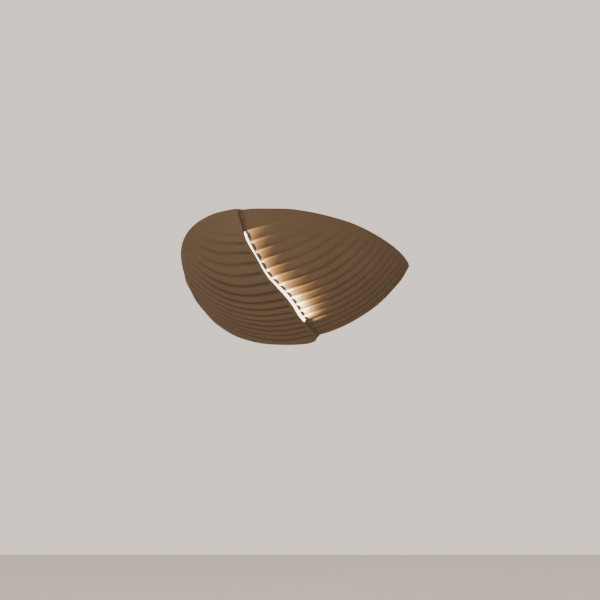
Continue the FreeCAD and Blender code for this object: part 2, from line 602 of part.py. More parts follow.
hexnut("nipple_locknut", ls + " - 4.6", "3.4", "14.0", "@nipple_rad + 0.05")
revolve("lock_washer", [(ls + " - 1.1", "@nipple_rad + 0.1"), (ls + " - 1.1", "8.5"),
                        (ls + " - 0.1", "8.5"), (ls + " - 0.1", "@nipple_rad + 0.1")], **AX)
hr, hw = "@holder_rad", "@holder_wall"
revolve("lampholder_cap", [
    ("-37.95", "@nipple_rad + 0.1"), ("-37.95", "9.5"), ("-35.5", "11.5"), ("-31.5", "15.2"), ("-26", hr + " - 1.2"),
    ("-21", hr), ("-14", hr), ("-14", hr + " - " + hw), ("-21", hr + " - " + hw), ("-26", hr + " - 1.2 - " + hw),
    ("-30.5", "13.4"), ("-34", "10"), ("-35.6", "8"), ("-35.6", "@nipple_rad + 0.1")], **AX)
revolve("lampholder_skirt", [
    ("-13.9", hr + " - " + hw), ("-13.9", hr), ("-8", hr), ("-8", hr + " - 0.7"), ("-6", hr + " - 0.7"), ("-6", hr),
    ("-3", hr), ("-3", hr + " - 0.7"), ("-1", hr + " - 0.7"), ("-1", hr), ("12", hr + " - 0.4"), ("18", hr + " - 1.1"),
    ("20", hr + " - 1.9"), ("20", hr + " - 4.3"), ("17.5", hr + " - 4.3"), ("16", hr + " - " + hw)], **AX)
revolve("lampholder_core", [("-17", "0"), ("-17", "15.5"), ("-13.5", "15.5"), ("-13.5", "17.1"), ("-9", "17.1"),
                            ("-9", "11"), ("-10.5", "11"), ("-10.5", "0")], **AX)
# brass contact blade under the lamp's tip
blade = doc.addObject("PartDesign::Body", "centre_contact_body")
pad(blade, "XY_Plane", [("-10.45", "-9.5"), ("-10.45", "-3"), ("-4.6", "1.5"), ("-4.3", "4.5"), ("-3.8", "4.5"), ("-4.1", "1.1"),
                        ("-9.9", "-3.5"), ("-9.9", "-9.5")], "6", symmetric=True)
place(blade, "0", "-@lamp_out", "0")
keep("centre_contact", blade)


def ringed(x0, x1, r_in, wall, crest, pitch):
    """Closed profile of a thin tube rolled to a round thread: (x, r) corners."""
    def line_at(off):
        pts = [(x0, r_in + off)]
        x = x0 + pitch * 0.5
        while x + pitch <= x1:
            pts += [(x, r_in + off), (x + pitch * 0.25, r_in + off + crest * 0.8),
                    (x + pitch * 0.42, r_in + off + crest), (x + pitch * 0.58, r_in + off + crest),
                    (x + pitch * 0.75, r_in + off + crest * 0.8)]
            x += pitch
        pts += [(x, r_in + off), (x1, r_in + off)]
        return pts
    return line_at(0.0) + list(reversed(line_at(wall)))


def turned(label, pts, extra=None):
    obj = doc.addObject("Part::Feature", label + "_turned")
    vecs = [V(a, b, 0) for a, b in pts]
    face = Part.Face(Part.makePolygon(vecs + [vecs[0]]))
    shape = face.revolve(V(0, 0, 0), V(1, 0, 0), 360)
    if extra is not None:
        shape = shape.fuse(extra)
    obj.Shape = shape if shape.ShapeType == "Solid" else Part.Solid(shape.Shells[0])
    obj.Placement = FreeCAD.Placement(V(0, -g("lamp_out"), 0), FreeCAD.Rotation())
    return keep(label, obj)


turned("lampholder_thread", ringed(-8.8, 17.2, g("sleeve_rad"), g("sleeve_wall"), g("thread_deep"), g("thread_pitch")))


def terminal(tag, z):
    b = box("holder_term_" + tag, "5.5", "6", "5", "-22.6", "-@lamp_out - 3", z + " - 2.5")
    h = cyl("holder_term_bore_" + tag, "@core_rad", "4", "-23", "-@lamp_out", z, "X")
    return cut("holder_terminal_" + tag, b, h)


keep("holder_terminals", compound("holder_terminal_set", [terminal("line", "9"), terminal("neutral", "-9")]))


def grub(tag, z):
    s = cyl("grub_" + tag, "1.5", "2.2", "-19.8", "-@lamp_out - 3.05", z, "-Y")
    k = box("grub_slot_" + tag, "2.4", "0.8", "0.6", "-21", "-@lamp_out - 5.35", z + " - 0.3")
    return cut("holder_grub_" + tag, s, k)


keep("holder_terminal_screws", compound("grubs", [grub("line", "9"), grub("neutral", "-9")]))

# ---------------------------------------------------------------------- lamp
cap_pts = ringed(0.4, 21.5, g("cap_rad") - g("thread_deep") - 0.35, 0.35, g("thread_deep"), g("thread_pitch"))
turned("lamp_cap", cap_pts)
revolve("lamp_insulator", [("-2.2", "4.9"), ("-2.2", "7"), ("0.3", "11.6"), ("0.35", "@cap_rad - @thread_deep - 0.4"),
                           ("3.5", "@cap_rad - @thread_deep - 0.4"), ("3.5", "9.5"), ("1.2", "8.4"), ("-0.6", "4.9")], **AX)
revolve("lamp_tip", [("-3.5", "0"), ("-3.5", "2.6"), ("-2.9", "4.4"), ("-1.2", "4.8"), ("0", "4.8"), ("0", "0")], **AX)
revolve("lamp_driver", [("4.2", "0"), ("4.2", "9"), ("5", "10.2"), ("17", "10.2"), ("17", "0")], **AX)
# glass: a globe on a flared neck, hollow
ga, gr = "@globe_at", "@globe_rad"
gl = []
for tag, off in (("out", "0"), ("in", "@glass_thk")):
    s = doc.addObject("Part::Sphere", "globe_" + tag)
    ex(s, Radius=gr + " - " + off)
    place(s, ga, "-@lamp_out", "0")
    n = cone("neck_" + tag, "11.8 - " + off, "18.6 - " + off, "17.5 + 0.01", "21.55" if tag == "out" else "21.5",
             "-@lamp_out", "0", "X")
    gl.append(fuse("glass_" + tag, [s, n]))
keep("lamp_glass", cut("glass_cut", gl[0], gl[1]))
revolve("lamp_stem", [("22.5", "0"), ("22.5", "9.5"), ("24", "9.5"), ("27", "4.5"), ("35", "3.2"), ("38", "3.2"), ("38", "0")], **AX)
fil = []
for k in range(4):
    a = math.radians(45 + 90 * k)
    c = doc.addObject("Part::Cylinder", "filament_%d" % k)
    c.Radius, c.Height = 0.9, 28
    tilt = FreeCAD.Rotation(V(0, 0, 1), V(1.0, 0.22 * math.cos(a), 0.22 * math.sin(a)))
    c.Placement = FreeCAD.Placement(V(38.6, -g("lamp_out") + 4 * math.cos(a), 4 * math.sin(a)), tilt)
    fil.append(c)
keep("lamp_filaments", compound("filament_set", fil))

# ------------------------------------------------------------ terminal block
bx, bz, bw, bt, bd = "@block_side", "@block_low", "@block_wide", "@block_tall", "@block_deep"
ways = [bx + " + 4.5 + %d * @way_pitch" % k for k in range(3)]
blk = box("block_blank", bw, bd, bt, bx, "-@plate_thk - 0.02 - " + bd, bz)
nip = [box("block_gap_%d" % k, "1.4", "8", bt + " + 2", bx + " + 7.8 + %d * @way_pitch" % k,
           "-@plate_thk - 9.5 - 8 + 1.5", bz + " - 1") for k in range(2)]
tun = [cyl("way_%d" % k, "2.75", bt + " + 4", ways[k], "-@plate_thk - 6.5", bz + " - 2") for k in range(3)]
drv = [cyl("driver_%d_%d" % (k, s), "1.9", "9", ways[k], "-@plate_thk - 8", bz + " + 4 + %d" % (8 * s), "-Y")
       for k in range(3) for s in range(2)]
fix = cyl("block_fix_hole", "1.5", bd + " + 4", bx + " + @way_pitch + 0.5", "0", bz + " + " + bt + " / 2", "-Y")
keep("terminal_block", cut("block_cut", blk, fuse("block_tools", nip + tun + drv + [fix])))
brass = []
for k in range(3):
    o = cyl("way_tube_%d" % k, "2.6", bt + " - 1", ways[k], "-@plate_thk - 6.5", bz + " + 0.5")
    i_ = fuse("way_bores_%d" % k, [
        cyl("way_bore_%d" % k, "1.6", bt + " + 4", ways[k], "-@plate_thk - 6.5", bz + " - 2"),
        cyl("way_tap_a_%d" % k, "1.35", "5", ways[k], "-@plate_thk - 6.5", bz + " + 4", "-Y"),
        cyl("way_tap_b_%d" % k, "1.35", "5", ways[k], "-@plate_thk - 6.5", bz + " + 12", "-Y")])
    brass.append(cut("way_brass_%d" % k, o, i_))
keep("terminal_tubes", compound("terminal_tube_set", brass))
tsc = []
for k in range(3):
    for s in range(2):
        z_ = bz + " + 4 + %d" % (8 * s)
        a = cyl("tscrew_%d_%d" % (k, s), "1.3", "4.4", ways[k], "-@plate_thk - 7.9", z_, "-Y")
        b = box("tscrew_slot_%d_%d" % (k, s), "2", "0.8", "0.5", ways[k] + " - 1", "-@plate_thk - 12.4", z_ + " - 0.25")
        tsc.append(cut("tscrew_cut_%d_%d" % (k, s), a, b))
keep("terminal_screws", compound("terminal_screw_set", tsc))
keep("block_screw", pan_screw("block", bx + " + @way_pitch + 0.5", bz + " + " + bt + " / 2",
                              "-@plate_thk - @block_deep - 0.1", "15.5", "2.6", "1.4", "1.6"))

# -------------------------------------------------------------- inner wiring


def wire(label, pts, radius, bend=3.5):
    """Straight runs joined by tangent arcs, as one round solid."""
    pts = [V(*p) for p in pts]
    edges = []
    start = pts[0]
    for k in range(1, len(pts) - 1):
        a, b, c = pts[k - 1], pts[k], pts[k + 1]
        d1 = (a - b)
        d2 = (c - b)
        l1, l2 = d1.Length, d2.Length
        d1.normalize()
        d2.normalize()
        ang = math.acos(max(-1, min(1, d1.dot(d2))))      # between the runs
        turn = math.pi - ang
        back = min(bend * math.tan(turn / 2), 0.45 * min(l1, l2))
        r = back / math.tan(turn / 2)
        p1, p2 = b + d1 * back, b + d2 * back
        bis = d1 + d2
        bis.normalize()
        centre = b + bis * (r / math.sin(ang / 2))
        mid_ = centre - bis * r
        if (p1 - start).Length > 1e-6:
            edges.append(Part.LineSegment(start, p1).toShape())
        edges.append(Part.Arc(p1, mid_, p2).toShape())
        start = p2
    edges.append(Part.LineSegment(start, pts[-1]).toShape())
    path = Part.Wire(edges)
    t = pts[1] - pts[0]
    t.normalize()
    ring = Part.Wire(Part.makeCircle(radius, pts[0], t))
    obj = doc.addObject("Part::Feature", label + "_run")
    obj.Shape = path.makePipeShell([ring], True, False)
    return keep(label, obj)


LO = -g("lamp_out")
wx = [g("block_side") + 4.5 + g("way_pitch") * k for k in range(3)]
wy = -g("plate_thk") - 6.5
wz = g("block_low") + 3.0
wire("line_wire", [(wx[2], wy, wz), (wx[2], wy, 9), (wx[2] - 1, -30, 4), (wx[2], LO, 1.7), (-31, LO, 1.7),
                   (-26.5, LO, 9), (-22.2, LO, 9)], 1.15, 3.0)
wire("neutral_wire", [(wx[1], wy, wz), (wx[1], wy, 7), (wx[1] + 1, -28, 0), (wx[1] + 4, LO, -1.7), (-31, LO, -1.7),
                      (-26.5, LO, -9), (-22.2, LO, -9)], 1.15, 3.0)
wire("earth_wire", [(wx[0], wy, wz), (wx[0], wy, 6), (wx[0] - 1, wy + 1, -14), (-72, -3.95, -28), (-63.5, -3.95, -28)], 1.15)
# ring tag and screw of the earth point
tag_ = fuse("earth_tag_blank", [
    cyl("earth_tag_ring", "3.9", "0.8", "-56", "-@plate_thk - 0.02", "-28", "-Y"),
    cyl("earth_tag_barrel", "1.9", "5", "-67", "-3.95", "-28", "X"),
    box("earth_tag_neck", "6", "0.8", "3", "-64", "-@plate_thk - 0.82", "-29.5")])
keep("earth_tag", cut("earth_tag_cut", tag_, fuse("earth_tag_tools", [
    cyl("earth_tag_eye", "@plate_screw_rad + 0.15", "6", "-56", "1", "-28", "-Y"),
    cyl("earth_tag_bore", "1.2", "4.2", "-67.5", "-3.95", "-28", "X")])))
keep("earth_screw", pan_screw("earth", "-56", "-28", "-@plate_thk - 0.9", "2.8"))

doc.removeObject("probe")
doc.recompute()

# ------------------------------------------------------------------- checks
bad = []
for o in doc.Objects:
    if any(s in ("Invalid", "Error") for s in o.State):
        bad.append((o.Name, o.State))
for label, o in OUT:
    s = o.Shape
    if s.isNull() or not s.isValid() or not s.Solids:
        bad.append((label, "shape"))
if bad:
    raise RuntimeError("failed objects: %s" % bad)

os.makedirs("parts", exist_ok=True)
for label, o in OUT:
    o.Shape.exportStep("parts/%s.step" % label)
    bb = o.Shape.BoundBox
    print("%-24s solids %d  vol %9.1f  x %7.1f %7.1f  y %7.1f %7.1f  z %7.1f %7.1f" % (
        label, len(o.Shape.Solids), o.Shape.Volume, bb.XMin, bb.XMax, bb.YMin, bb.YMax, bb.ZMin, bb.ZMax))
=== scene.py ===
import json
import math

import bpy
import numpy as np
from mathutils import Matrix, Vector


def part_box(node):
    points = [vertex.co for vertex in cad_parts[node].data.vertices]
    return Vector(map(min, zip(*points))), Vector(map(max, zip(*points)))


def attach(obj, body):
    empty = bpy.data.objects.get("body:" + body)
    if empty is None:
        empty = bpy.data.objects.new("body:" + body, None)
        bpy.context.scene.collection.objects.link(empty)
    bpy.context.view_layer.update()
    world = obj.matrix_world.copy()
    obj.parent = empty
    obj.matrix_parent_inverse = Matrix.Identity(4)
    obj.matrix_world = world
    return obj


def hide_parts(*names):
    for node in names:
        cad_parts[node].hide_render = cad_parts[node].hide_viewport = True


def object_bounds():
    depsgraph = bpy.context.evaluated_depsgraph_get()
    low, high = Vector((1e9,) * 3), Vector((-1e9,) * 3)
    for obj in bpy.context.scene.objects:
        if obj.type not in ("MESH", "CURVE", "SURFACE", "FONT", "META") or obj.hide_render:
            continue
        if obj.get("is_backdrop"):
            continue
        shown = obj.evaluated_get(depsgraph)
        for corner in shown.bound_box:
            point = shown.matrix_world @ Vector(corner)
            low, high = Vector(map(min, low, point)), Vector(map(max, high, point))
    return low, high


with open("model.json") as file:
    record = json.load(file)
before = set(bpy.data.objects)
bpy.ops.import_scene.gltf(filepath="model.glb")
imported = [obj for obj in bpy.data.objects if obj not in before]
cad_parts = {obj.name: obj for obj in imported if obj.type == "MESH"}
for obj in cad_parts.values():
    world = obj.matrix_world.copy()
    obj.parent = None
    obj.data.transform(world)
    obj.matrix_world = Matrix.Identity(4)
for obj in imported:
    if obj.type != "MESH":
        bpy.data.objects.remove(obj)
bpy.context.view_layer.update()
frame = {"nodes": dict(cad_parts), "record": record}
MM = 0.001
GAP = 1.5

# ------------------------------------------------------------------ outlines
# Tables in millimetres: x, z and, on the rims, the distance from the back.
RIM_LEFT = [(-190.0, -1.7, 8), (-194.0, 15.1, 21), (-194.9, 35.2, 39), (-189.8, 55.2, 60),
            (-181.4, 68.6, 76), (-171.7, 78.3, 89), (-160.7, 86.0, 100), (-149.0, 92.1, 109),
            (-135.6, 97.1, 116), (-122.2, 100.4, 121.5), (-108.8, 103.0, 126), (-97.1, 103.5, 129)]
BACK_LEFT = [(-187.8, -15.9), (-185.0, -22.3), (-179.1, -33.1), (-172.4, -46.4), (-165.7, -56.4),
             (-152.3, -72.3), (-138.9, -86.7), (-125.5, -96.6), (-105.5, -108.6), (-85.4, -116.0),
             (-58.6, -122.0), (-28.5, -124.2), (1.7, -123.9), (15.1, -122.7), (25.1, -120.4),
             (33.1, -115.5)]
SEAM_LEFT = [(-97.1, 103.5), (-98.0, 97.0), (-93.7, 82.0), (-90.4, 65.3), (-80.9, 41.0),
             (-69.6, 21.8), (-59.9, 5.0), (-50.2, -8.9), (-37.8, -22.8), (-25.3, -36.7),
             (-15.6, -49.2), (-7.2, -61.6), (1.2, -74.2), (10.0, -83.7), (20.1, -93.7),
             (30.0, -103.5), (33.1, -115.5)]
SEAM_RIGHT = [(-91.2, 101.8), (-86.9, 82.0), (-83.5, 65.3), (-74.0, 41.0), (-62.8, 21.8),
              (-53.1, 5.0), (-43.4, -8.9), (-31.0, -22.8), (-18.4, -36.7), (-8.7, -49.2),
              (-0.3, -61.6), (8.0, -74.2), (16.9, -83.7), (27.0, -93.7), (34.3, -100.8),
              (39.3, -106.5)]
RIM_RIGHT = [(-91.2, 101.8, 127), (-68.6, 103.8, 130), (-41.9, 103.8, 131), (-15.1, 103.5, 129),
             (11.7, 100.4, 125), (38.5, 95.4, 117.5), (65.3, 88.7, 108), (92.1, 80.4, 96),
             (118.9, 68.6, 81), (145.6, 53.6, 61.5), (165.7, 39.3, 42), (179.3, 26.6, 24),
             (186.0, 17.3, 12)]
BACK_RIGHT = [(39.3, -106.5), (50.2, -103.8), (67.0, -97.6), (83.7, -90.2), (100.4, -81.0),
              (117.2, -70.6), (133.9, -58.3), (150.7, -43.0), (167.4, -24.6), (175.8, -14.6),
              (183.9, -1.0), (189.0, 8.4)]
SLIT_TOP, SLIT_LOW = 64.8, -85.6        # heights between which the slit is open

# rib numbering over each lobe: whole numbers are the grooves, counted downwards
WAVES_LEFT = [3.795, 5.487, -1.587, 3.566, 1.205, -1.215, 2.319, -6.68, -4.938, -2.622,
              -1.661, -3.36, -2.95, -3.745, -4.32, -3.263, -2.454]
WAVES_RIGHT = [8.524, 1.187, -0.286, 3.576, 0.199, -4.864, 3.767, 0.241, -1.973, -5.226,
               0.763, 0.467, -1.126, -1.052, -1.124, 3.359, -3.005]


def smooth(lo, hi, v):
    t = np.clip((np.asarray(v, float) - lo) / (hi - lo), 0, 1)
    return t * t * (3 - 2 * t)


def spline(t, p, tt):
    """Cubic through the points p at t, with not-a-knot ends."""
    n = len(t)
    h = np.diff(t)
    m = np.zeros((n, n))
    rhs = np.zeros((n, p.shape[1]))
    m[0, :3] = h[1], -(h[0] + h[1]), h[0]
    m[-1, -3:] = h[-1], -(h[-2] + h[-1]), h[-2]
    for i in range(1, n - 1):
        m[i, i - 1:i + 2] = h[i - 1], 2 * (h[i - 1] + h[i]), h[i]
        rhs[i] = 6 * ((p[i + 1] - p[i]) / h[i] - (p[i] - p[i - 1]) / h[i - 1])
    c = np.linalg.solve(m, rhs)
    k = np.clip(np.searchsorted(t, tt, side="right") - 1, 0, n - 2)
    a, b, w = (t[k + 1] - tt)[:, None], (tt - t[k])[:, None], h[k][:, None]
    return (c[k] * a ** 3 / (6 * w) + c[k + 1] * b ** 3 / (6 * w)
            + (p[k] / w - c[k] * w / 6) * a + (p[k + 1] / w - c[k + 1] * w / 6) * b)


def arc(table, share):
    """Points at these shares of the length of the curve through a table: x, depth, z."""
    p = np.array([[q[0], (q[2] if len(q) > 2 else 0.0), q[1]] for q in table], float)
    t = np.r_[0, np.cumsum(np.linalg.norm(np.diff(p, axis=0), axis=1))]
    q = spline(t, p, np.linspace(0, t[-1], 4000))
    s = np.r_[0, np.cumsum(np.linalg.norm(np.diff(q, axis=0), axis=1))]
    return np.stack([np.interp(share * s[-1], s, q[:, k]) for k in range(3)], 1)


SWEEP = math.radians(66)


def dome(f):
    t = np.arcsin(np.minimum(1, f * math.sin(SWEEP)))
    return (np.cos(t) - math.cos(SWEEP)) / (1 - math.cos(SWEEP))


def phase(c, x, z, d):
    x, z, d = x / 100, z / 100, d / 100
    terms = [1, x, z, d, x * x, x * z, z * z, x * d, z * d, d * d,
             x ** 3, x * x * z, x * z * z, z ** 3, x * x * d, x * z * d, z * z * d]
    return sum(k * v for k, v in zip(c, terms))


# rows down the casting: close together on the rounded rim, then evenly spaced
ROWS = 300
g_ = np.linspace(0, 1, 3000)
run = np.r_[0, np.cumsum(np.hypot(np.diff(g_) * 222.0, np.diff(dome(g_)) * 128.0))]
even = np.interp(np.linspace(0, run[-1], ROWS), run, g_)
F = np.unique(np.r_[np.array([0, .12, .4, .8, 1.3, 1.9, 2.6, 3.3]) / 222.0, even[even > 4.0 / 222.0]])
F[-1] = 1.0
NF = len(F)


def columns(n, length, fine, at_start):
    """Shares of the width for the columns, close together beside the seam."""
    step = np.full(n, 1.0)
    k = np.arange(n)
    step *= fine + (1 - fine) * smooth(10, 34, k)
    s = np.r_[0, np.cumsum(step)]
    s /= s[-1]
    return s if at_start else (1 - s)[::-1]


QF = 1.0
U_LEFT = columns(int(165 * QF), 200, 0.5, False)
U_RIGHT = columns(int(240 * QF), 300, 0.45, True)


def lobe(left):
    u_ = U_LEFT if left else U_RIGHT
    R = arc(RIM_LEFT if left else RIM_RIGHT, u_)
    W = arc(BACK_LEFT if left else BACK_RIGHT, u_)
    S = arc(SEAM_LEFT if left else SEAM_RIGHT, F)
    s = -1 if left else 0
    f = F[None, :, None]
    w = (u_ if left else 1 - u_)[:, None, None]
    P = R[:, None] * (1 - f) + W[:, None] * f
    B = R[s] * (1 - f[0]) + W[s] * f[0]
    Q = P + (S - B)[None] * w
    D = R[:, None, 1] * dome(F)[None]
    away = np.hypot(S[None, :, 0] - Q[..., 0], S[None, :, 2] - Q[..., 2])
    if left:
        ff = F[None]
        D = D + (2 + 4 * ff) * np.sqrt(np.maximum(0, 1 - ff * ff)) * np.exp(-(away / 28) ** 2)
    P = np.stack([Q[..., 0], -GAP - D, Q[..., 2]], -1)
    # normals, towards the room
    a = np.empty_like(P)
    a[1:-1] = P[2:] - P[:-2]
    a[0] = P[1] - P[0]
    a[-1] = P[-1] - P[-2]
    b = np.empty_like(P)
    b[:, 1:-1] = P[:, 2:] - P[:, :-2]
    b[:, 0] = P[:, 1] - P[:, 0]
    b[:, -1] = P[:, -1] - P[:, -2]
    n = np.cross(a, b)
    n /= np.maximum(1e-9, np.linalg.norm(n, axis=2))[..., None]
    if n[n.shape[0] // 2, n.shape[1] // 2, 1] > 0:
        n = -n
    return P, n, D, away


def walls(P, n):
    """Inner skin: the outer one set in by the wall, ending on the back plane."""
    f = F[None, :, None]
    thk = 8.5 + 1.5 * np.minimum(1, f * 3) + 10 * np.maximum(0, (f - 0.6) / 0.4) ** 1.5
    raw = P - n * thk
    out = np.empty_like(raw)
    for i in range(raw.shape[0]):
        r = raw[i]
        over = np.nonzero(r[:, 1] > -GAP)[0]
        if len(over) and over[0] > 0:
            j = over[0]
            t = (-GAP - r[j - 1, 1]) / (r[j, 1] - r[j - 1, 1])
            c = np.vstack([r[:j], r[j - 1] + (r[j] - r[j - 1]) * t])
        else:
            t = (-GAP - r[-2, 1]) / (r[-1, 1] - r[-2, 1] + 1e-9)
            c = np.vstack([r[:-1], r[-2] + (r[-1] - r[-2]) * t])
        s = np.r_[0, np.cumsum(np.linalg.norm(np.diff(c, axis=0), axis=1))]
        run_ = np.r_[0, np.cumsum(np.linalg.norm(np.diff(P[i], axis=0), axis=1))]
        want = run_ / run_[-1] * s[-1]
        out[i] = np.stack([np.interp(want, s, c[:, k]) for k in range(3)], 1)
        out[i, -1, 1] = -GAP
    return out


def rib(t):
    """Height of a rib across its width: flat topped, the crest a little low,
    a narrow round groove at 0 and 1."""
    s = np.power(t, 1.24)
    low = np.power(np.abs(2 * s - 1), 4.0)
    return 1 - np.sin(np.pi / 2 * np.minimum(1.0, low / 0.80))


def relief(left, P, n, D, away):
    """How far the surface lies under the crests, and the rib numbering."""
    ph = phase(WAVES_LEFT if left else WAVES_RIGHT, P[..., 0], P[..., 2], D)
    # on the steep side by the wall the ribs run on at an even pitch
    run_ = np.zeros(P.shape[:2])
    run_[:, 1:] = np.cumsum(np.linalg.norm(np.diff(P, axis=1), axis=2), axis=1)
    to_wall = run_[:, -1:] - run_
    if left:
        pitch_ = np.empty(P.shape[0])
        base_ = np.empty(P.shape[0])
        span_ = np.minimum(34.0, 0.35 * run_[:, -1])
        for i in range(P.shape[0]):
            x_ = run_[i, -1] - span_[i]
            a_, b_ = np.interp([x_ - 0.45 * span_[i], x_ + 0.1 * span_[i]], run_[i], ph[i])
            pitch_[i] = (b_ - a_) / (0.55 * span_[i])
            base_[i] = np.interp(x_, run_[i], ph[i])
        k_ = max(3, P.shape[0] // 12) * 2 + 1
        pitch_ = np.convolve(np.pad(pitch_, k_ // 2, "edge"), np.ones(k_) / k_, "valid")
        even = base_[:, None] + pitch_[:, None] * (run_ - (run_[:, -1:] - span_[:, None]))
        w_ = 1 - smooth(0.45, 1.0, to_wall / span_[:, None])
        ph = ph * (1 - w_) + even * w_
    # groove spacing in millimetres
    du = np.gradient(ph, axis=0) / np.maximum(1e-6, np.linalg.norm(np.gradient(P, axis=0), axis=2))
    df = np.gradient(ph, axis=1) / np.maximum(1e-6, np.linalg.norm(np.gradient(P, axis=1), axis=2))
    spacing = 1 / np.maximum(1e-3, np.hypot(du, df))
    # the ribs on the underside are cut a little deeper
    under = smooth(0.40, 0.80, -n[..., 2])
    part = 0.178 + 0.07 * under if left else 0.19
    deep = np.clip(spacing * part, 0.4, 2.6 + 1.0 * under if left else 2.9)
    f = F[None]
    if left:
        mask = smooth(0.35, 1.25, ph) * (1 - smooth(15.35, 15.9, ph))
        start = U_LEFT[:, None]
        mask = mask * smooth(0.02, 0.16 + 0.10 * start, f)
        # the ribs start out of the smooth shoulder at the upper left
        mask = mask * smooth(-182, -150, P[..., 0] - 0.9 * np.minimum(0, P[..., 2] - 20) * 1.0)
        mask = mask * (0.12 + 0.88 * smooth(1.0, 9.0, away)) * smooth(0.0, 0.06, start)
    else:
        mask = smooth(0.1, 0.9, ph) * (1 - smooth(16.0, 16.6, ph))
        mask = mask * smooth(0.05, 0.26, f) * (0.42 + 0.58 * smooth(1.2, 5.5, ph))
        mask = mask * (1 - smooth(0.88, 1.0, U_RIGHT[:, None]) * 0.9)
    # the back edge itself stays plain
    left_over = np.zeros(P.shape[:2])
    left_over[:, :-1] = np.cumsum(np.linalg.norm(np.diff(P, axis=1), axis=2)[:, ::-1], axis=1)[:, ::-1]
    mask = mask * smooth(1.0, 9.0, left_over)
    return ph, mask, deep


def eased(P, n, sink, r=2.6):
    """Puts the relief and the rounded rim on the outer skin."""
    run_ = np.zeros(P.shape[:2])
    run_[:, 1:] = np.cumsum(np.linalg.norm(np.diff(P, axis=1), axis=2), axis=1)
    near = np.maximum(0, r - run_)
    edge = r - np.sqrt(np.maximum(0, r * r - near * near))
    move = -n * (sink + edge)[..., None]
    move[..., 1] *= (1 - smooth(0.90, 1.0, F))[None]
    out = P + move
    out[..., 1] = np.minimum(out[..., 1], -GAP)
    out[:, -1, 1] = -GAP
    return out


PL, NL, DL, AL = lobe(True)
PR, NR, DR, AR = lobe(False)
IL, IR = walls(PL, NL), walls(PR, NR)


# the slit is uneven in width: how far each lip leans over it, by height
def lean(P, other, e, table):
    t_ = np.array(table)
    w_ = np.interp(-P[e, :, 2], -t_[:, 0], t_[:, 1])
    w_ = np.convolve(np.pad(w_, 6, "edge"), np.ones(13) / 13, "valid")
    d_ = other - P[e]
    d_[:, 1] = 0
    d_ /= np.linalg.norm(d_, axis=1)[:, None]
    r_ = np.linalg.norm(P - P[e][None], axis=2)
    return P + (d_ * w_[:, None])[None] * np.exp(-(r_ / 9.0) ** 2)[..., None]


edge_l, edge_r = PL[-1].copy(), PR[0].copy()
PL = lean(PL, edge_r, -1, [(80, 0), (66, 1.2), (38, 1.7), (25, 2.0), (12, 1.7), (-2, 0.9), (-15, 0), (-36, 0.2),
                           (-48, 1.2), (-62, 1.9), (-70, 1.6), (-77, 0.6), (-83, -0.2), (-90, 0)])
PR = lean(PR, edge_l, 0, [(80, 0), (66, 1.5), (58, 1.6), (45, 1.2), (30, 1.7), (12, 2.1), (-5, 2.2), (-15, 1.3),
                          (-28, 0.2), (-42, -0.5), (-69, -0.7), (-80, -0.4), (-90, 0)])
phL, maskL, deepL = relief(True, PL, NL, DL, AL)
phR, maskR, deepR = relief(False, PR, NR, DR, AR)

# distance along each row from the seam
rowR = np.zeros(PR.shape[:2])
rowR[1:] = np.cumsum(np.linalg.norm(np.diff(PR, axis=0), axis=2), axis=0)
rowL = np.zeros(PL.shape[:2])
rowL[:-1] = np.cumsum(np.linalg.norm(np.diff(PL, axis=0), axis=2)[::-1], axis=0)[::-1]

# the ribs are shallower high up, away from the seam
shallow = np.interp(-PL[..., 2], (-40, -10, 23, 60), (0.62, 0.75, 0.88, 1.0))
maskL = maskL * (1 - (1 - shallow) * smooth(8, 45, rowL))
shallow = np.interp(-PR[..., 2], (-50, -10, 20, 50), (0.52, 0.68, 0.86, 1.0))
maskR = maskR * (1 - (1 - shallow) * smooth(15, 60, rowR))

# the slit's open rows, and how far each is from the ends
seam_z = 0.5 * (PL[-1, :, 2] + PR[0, :, 2])
seam_run = np.r_[0, np.cumsum(np.linalg.norm(np.diff(PL[-1], axis=0), axis=1))]
open_ = (seam_z < SLIT_TOP) & (seam_z > SLIT_LOW)
j0, j1 = np.nonzero(open_)[0][[0, -1]]
END = 3.2
from_top = seam_run - seam_run[j0]
from_low = seam_run[j1] - seam_run
along_slit = np.clip(from_top / (seam_run[j1] - seam_run[j0]), 0, 1)

# a pinhole left by an air bubble near the left edge, sunk in and darkened with painted shade
pin = np.exp(-((PL[..., 0] + 185.4) ** 2 + (PL[..., 2] - 34.6) ** 2) / 1.5 ** 2) * (PL[..., 1] < -20)
# the ribs are deepest beside the slit
by_slit = smooth(-6, 1, from_top) * smooth(-5, 1, from_low)
maskR = np.maximum(maskR, by_slit[None] * np.exp(-(rowR / 30.0) ** 2) * smooth(0.05, 0.4, phR))
sinkL = deepL * (1 - rib(phL - np.floor(phL))) * maskL + 0.9 * pin
sinkR = deepR * (1 - rib(phR - np.floor(phR))) * maskR
# the right lobe's edge is bevelled down to the bottom of the grooves, so each
# rib ends in a small D shaped face beside the slit
END_WIDE = 7.2
bevel = np.maximum(deepR, 2.2) * 1.15 * (1 - rowR / END_WIDE)
# these D faces are painted dark as shade, and the painted slit light is left off them
endface = smooth(0.06, 0.40, (bevel - sinkR) / deepR) * by_slit[None] * (rowR < END_WIDE)
sinkR = sinkR * (1 - by_slit[None]) + np.maximum(sinkR, bevel) * by_slit[None]
# and the left lobe's lip has a small round
sinkL = sinkL + np.maximum(0, 1.4 - np.sqrt(np.maximum(0, 1.96 - np.maximum(0, 1.4 - rowL) ** 2)))

# beside the slit the edge drops straight back, so the slit keeps its width
straight_back = (by_slit[None] * np.exp(-(rowR / 5.0) ** 2))[..., None]
NE = NR * (1 - straight_back) + np.array([0.0, -1.0, 0.0]) * straight_back
OL = eased(PL, NL, sinkL)
OR = eased(PR, NE / np.linalg.norm(NE, axis=2)[..., None], sinkR)

